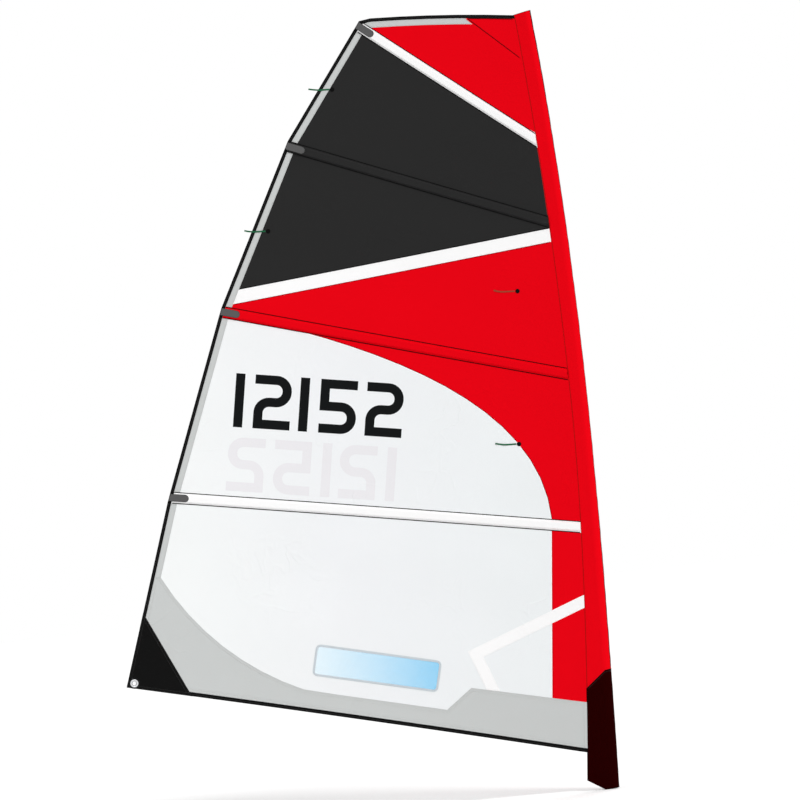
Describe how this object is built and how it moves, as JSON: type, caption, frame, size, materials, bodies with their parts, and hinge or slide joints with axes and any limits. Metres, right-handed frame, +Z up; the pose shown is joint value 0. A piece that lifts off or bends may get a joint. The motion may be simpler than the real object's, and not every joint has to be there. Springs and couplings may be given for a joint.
{
  "type": "dinghy sail",
  "caption": "Fully battened youth dinghy sail with a luff sleeve for the mast, a clew eyelet, a clear window, screw-tensioned battens and telltales.",
  "frame": {"origin": "on the mast's axis, at the mouth of the luff sleeve", "axes": "+Z up along the luff's chord, +X forward, away from the leech, +Y to port"},
  "size_m": [2.0443, 0.1273, 3.305],
  "materials": {
    "red_cloth": "resin-finished polyester sailcloth, slight sheen",
    "dark_cloth": "resin-finished polyester sailcloth, slight sheen",
    "white_cloth": "resin-finished polyester sailcloth, slightly translucent",
    "white_insert": "resin-finished polyester sailcloth",
    "grey_reinforcement": "heavier polyester sailcloth in layers",
    "black_binding": "woven edge binding and corner patch",
    "boot_cloth": "heavy dark sleeve cloth",
    "window_film": "clear flexible film",
    "window_seam": "sewn seam with clear tape",
    "moulded_plastic": "moulded nylon",
    "pusher_plastic": "moulded nylon",
    "glass_fibre": "pultruded glass fibre",
    "steel": "stainless steel, polished",
    "telltale_ribbon": "light spinnaker cloth ribbon",
    "telltale_sticker": "round adhesive patch"
  },
  "bodies": {
    "sail": {"batten_pocket_1": "white_insert", "batten_pocket_2": "dark_cloth", "batten_pocket_3": "red_cloth", "batten_pocket_4": "white_insert", "chevron_port": "white_insert", "chevron_starboard": "white_insert", "clew_eyelet": "steel", "clew_eyelet_ring": "steel", "clew_patch": "black_binding", "diagonal_stripe": "white_insert", "edge_tabling": "grey_reinforcement", "foot_patch": "grey_reinforcement", "foot_tape": "black_binding", "head_panel": "red_cloth", "head_patch": "red_cloth", "head_tape": "black_binding", "leech_tape": "black_binding", "lower_panel": "white_cloth", "luff_sleeve": "red_cloth", "luff_strip": "red_cloth", "number_panel": "white_cloth", "red_panel": "red_cloth", "sleeve_boot": "boot_cloth", "sleeve_head_cap": "black_binding", "telltale_dot_1": "telltale_sticker", "telltale_dot_2": "telltale_sticker", "telltale_dot_3": "telltale_sticker", "telltale_dot_4": "telltale_sticker", "tension_box_1": "moulded_plastic", "tension_box_2": "moulded_plastic", "tension_box_3": "moulded_plastic", "tension_box_4": "moulded_plastic", "upper_panel": "dark_cloth", "window_film": "window_film", "window_seam": "window_seam"},
    "batten_1": {"batten_1": "glass_fibre", "batten_tip_1": "moulded_plastic", "batten_cap_1": "moulded_plastic"},
    "tension_screw_1": {"tension_screw_1": "steel"},
    "tension_pusher_1": {"tension_pusher_1": "pusher_plastic"},
    "batten_2": {"batten_2": "glass_fibre", "batten_tip_2": "moulded_plastic", "batten_cap_2": "moulded_plastic"},
    "tension_screw_2": {"tension_screw_2": "steel"},
    "tension_pusher_2": {"tension_pusher_2": "pusher_plastic"},
    "batten_3": {"batten_3": "glass_fibre", "batten_tip_3": "moulded_plastic", "batten_cap_3": "moulded_plastic"},
    "tension_screw_3": {"tension_screw_3": "steel"},
    "tension_pusher_3": {"tension_pusher_3": "pusher_plastic"},
    "batten_4": {"batten_4": "glass_fibre", "batten_tip_4": "moulded_plastic", "batten_cap_4": "moulded_plastic"},
    "tension_screw_4": {"tension_screw_4": "steel"},
    "tension_pusher_4": {"tension_pusher_4": "pusher_plastic"},
    "telltale_1": {"telltale_1": "telltale_ribbon"},
    "telltale_2": {"telltale_2": "telltale_ribbon"},
    "telltale_3": {"telltale_3": "telltale_ribbon"},
    "telltale_4": {"telltale_4": "telltale_ribbon"}
  },
  "joints": [
    {"name": "batten_1_withdrawal", "type": "hinge", "parent": "sail", "child": "batten_1", "pos_m": [-0.97625, -7.9702, 3.50019], "axis": [0.636, 0, 0.7717], "range_deg": [0, 5.2]},
    {"name": "tension_screw_1_turn", "type": "hinge", "parent": "batten_1", "child": "tension_screw_1", "pos_m": [-0.69669, 0.08584, 3.26946], "axis": [0.7707, -0.0496, -0.6353], "range_deg": [0, 1646]},
    {"name": "tension_pusher_1_slide", "type": "slide", "parent": "batten_1", "child": "tension_pusher_1", "axis": [0.7707, -0.0496, -0.6353], "range_m": [0, 0.008]},
    {"name": "batten_2_withdrawal", "type": "hinge", "parent": "sail", "child": "batten_2", "pos_m": [-0.97961, -5.60779, 2.77522], "axis": [0.3887, 0, 0.9213], "range_deg": [0, 9.9]},
    {"name": "tension_screw_2_turn", "type": "hinge", "parent": "batten_2", "child": "tension_screw_2", "pos_m": [-1.04646, 0.09365, 2.80344], "axis": [0.9213, 0.0062, -0.3887], "range_deg": [0, 1646]},
    {"name": "tension_pusher_2_slide", "type": "slide", "parent": "batten_2", "child": "tension_pusher_2", "axis": [0.9213, 0.0062, -0.3887], "range_m": [0, 0.008]},
    {"name": "batten_3_withdrawal", "type": "hinge", "parent": "sail", "child": "batten_3", "pos_m": [-0.98005, -5.19332, 2.02127], "axis": [0.2884, 0, 0.9575], "range_deg": [0, 14.3]},
    {"name": "tension_screw_3_turn", "type": "hinge", "parent": "batten_3", "child": "tension_screw_3", "pos_m": [-1.39656, 0.07616, 2.14685], "axis": [0.9548, 0.0754, -0.2876], "range_deg": [0, 1646]},
    {"name": "tension_pusher_3_slide", "type": "slide", "parent": "batten_3", "child": "tension_pusher_3", "axis": [0.9548, 0.0754, -0.2876], "range_m": [0, 0.008]},
    {"name": "batten_4_withdrawal", "type": "hinge", "parent": "sail", "child": "batten_4", "pos_m": [-0.98003, -4.92731, 1.26661], "axis": [0.1845, 0, 0.9828], "range_deg": [0, 17.9]},
    {"name": "tension_screw_4_turn", "type": "hinge", "parent": "batten_4", "child": "tension_screw_4", "pos_m": [-1.69647, 0.04084, 1.40127], "axis": [0.9734, 0.1381, -0.1828], "range_deg": [0, 1646]},
    {"name": "tension_pusher_4_slide", "type": "slide", "parent": "batten_4", "child": "tension_pusher_4", "axis": [0.9734, 0.1381, -0.1828], "range_m": [0, 0.008]},
    {"name": "telltale_1_lift", "type": "hinge", "parent": "sail", "child": "telltale_1", "pos_m": [-0.84164, 0.0956, 3.0181], "axis": [0, 0, 1], "range_deg": [0, 75]},
    {"name": "telltale_2_lift", "type": "hinge", "parent": "sail", "child": "telltale_2", "pos_m": [-1.17464, 0.09368, 2.4601], "axis": [0, 0, 1], "range_deg": [0, 75]},
    {"name": "telltale_3_lift", "type": "hinge", "parent": "sail", "child": "telltale_3", "pos_m": [-0.16964, 0.03032, 2.0921], "axis": [0, 0, 1], "range_deg": [0, 75]},
    {"name": "telltale_4_lift", "type": "hinge", "parent": "sail", "child": "telltale_4", "pos_m": [-0.23564, 0.04104, 1.4581], "axis": [0, 0, 1], "range_deg": [0, 75]}
  ],
  "couplings": [
    {"joint": "tension_screw_1_turn", "follows": "tension_pusher_1_slide", "rad_per_m": 3590.4},
    {"joint": "tension_screw_2_turn", "follows": "tension_pusher_2_slide", "rad_per_m": 3590.4},
    {"joint": "tension_screw_3_turn", "follows": "tension_pusher_3_slide", "rad_per_m": 3590.4},
    {"joint": "tension_screw_4_turn", "follows": "tension_pusher_4_slide", "rad_per_m": 3590.4}
  ]
}
